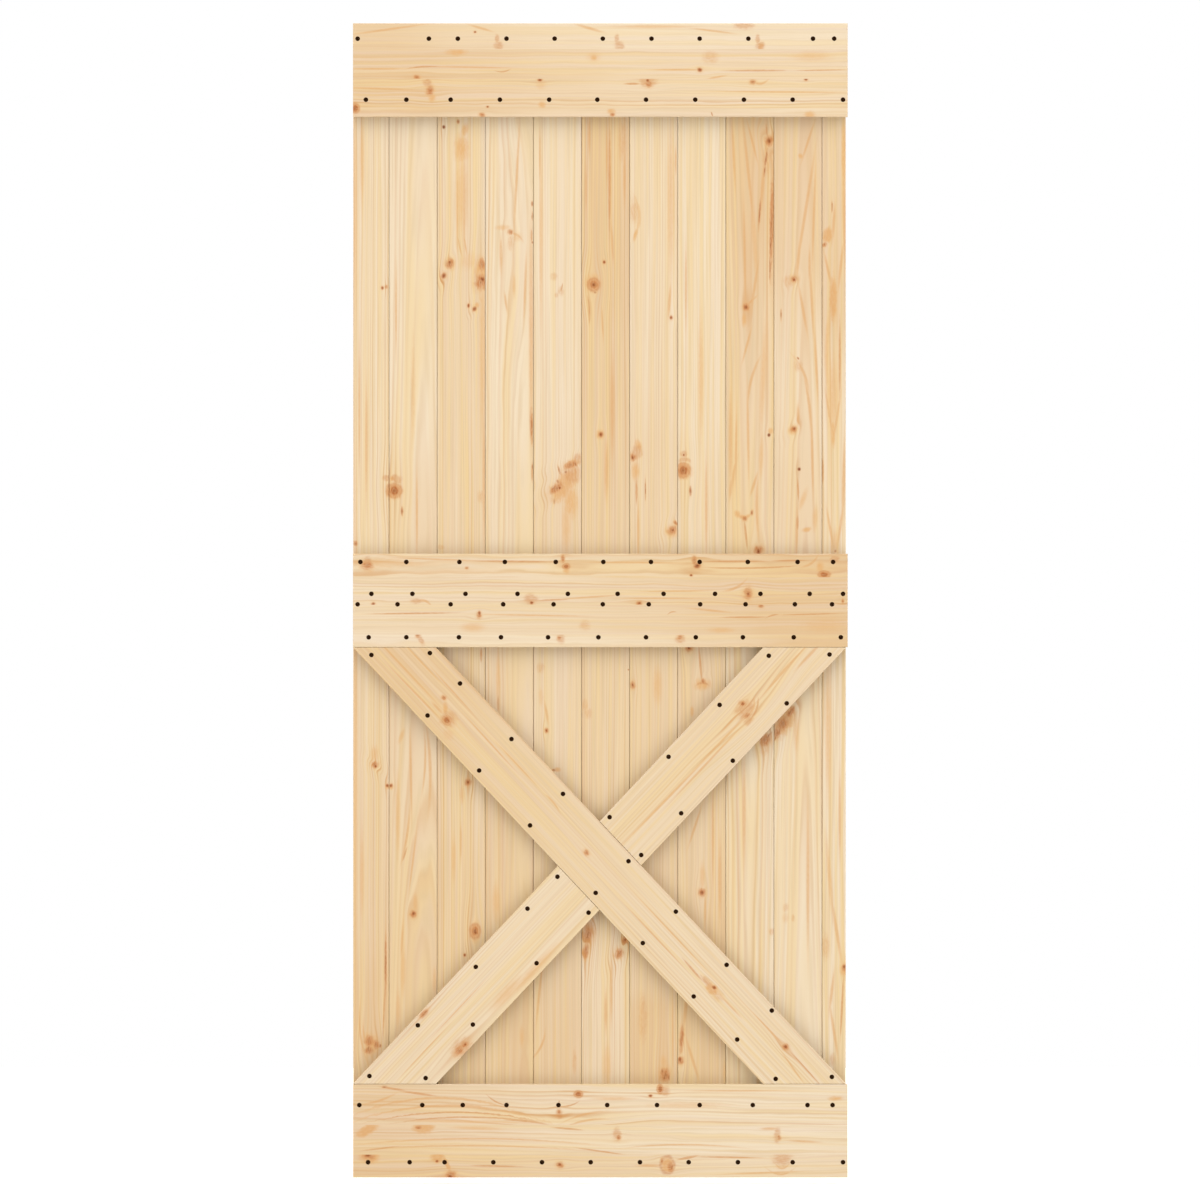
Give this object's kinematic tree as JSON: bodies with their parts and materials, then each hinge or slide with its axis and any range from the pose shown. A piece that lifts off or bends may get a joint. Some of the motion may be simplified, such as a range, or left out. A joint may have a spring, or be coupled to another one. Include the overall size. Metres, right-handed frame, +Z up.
{
  "type": "sliding door leaf",
  "caption": "Sliding door leaf of upright tongued pine boards, with wide flat rails across the front and a crossed brace in the lower panel.",
  "frame": {"origin": "middle of the top edge of the leaf, halfway through its thickness", "axes": "+Z up along the leaf, +X to the right seen from the front, +Y towards the back"},
  "size_m": [0.9, 0.035, 2.1],
  "materials": {
    "board_wood": "planed knotty pine, bare",
    "rail_wood": "planed knotty pine, bare, edge-glued from strips",
    "brace_wood": "planed knotty pine, bare",
    "screw_steel": "dark brown-black coated steel"
  },
  "bodies": {
    "root": {"board_01": "board_wood", "board_02": "board_wood", "board_03": "board_wood", "board_04": "board_wood", "board_05": "board_wood", "board_06": "board_wood", "board_07": "board_wood", "board_08": "board_wood", "board_09": "board_wood", "board_10": "board_wood", "board_11": "board_wood", "top_rail": "rail_wood", "middle_rail": "rail_wood", "bottom_rail": "rail_wood", "long_brace": "brace_wood", "upper_short_brace": "brace_wood", "lower_short_brace": "brace_wood", "top_rail_screws": "screw_steel", "middle_rail_screws": "screw_steel", "bottom_rail_screws": "screw_steel", "long_brace_screws": "screw_steel", "upper_short_brace_screws": "screw_steel", "lower_short_brace_screws": "screw_steel"}
  },
  "joints": []
}
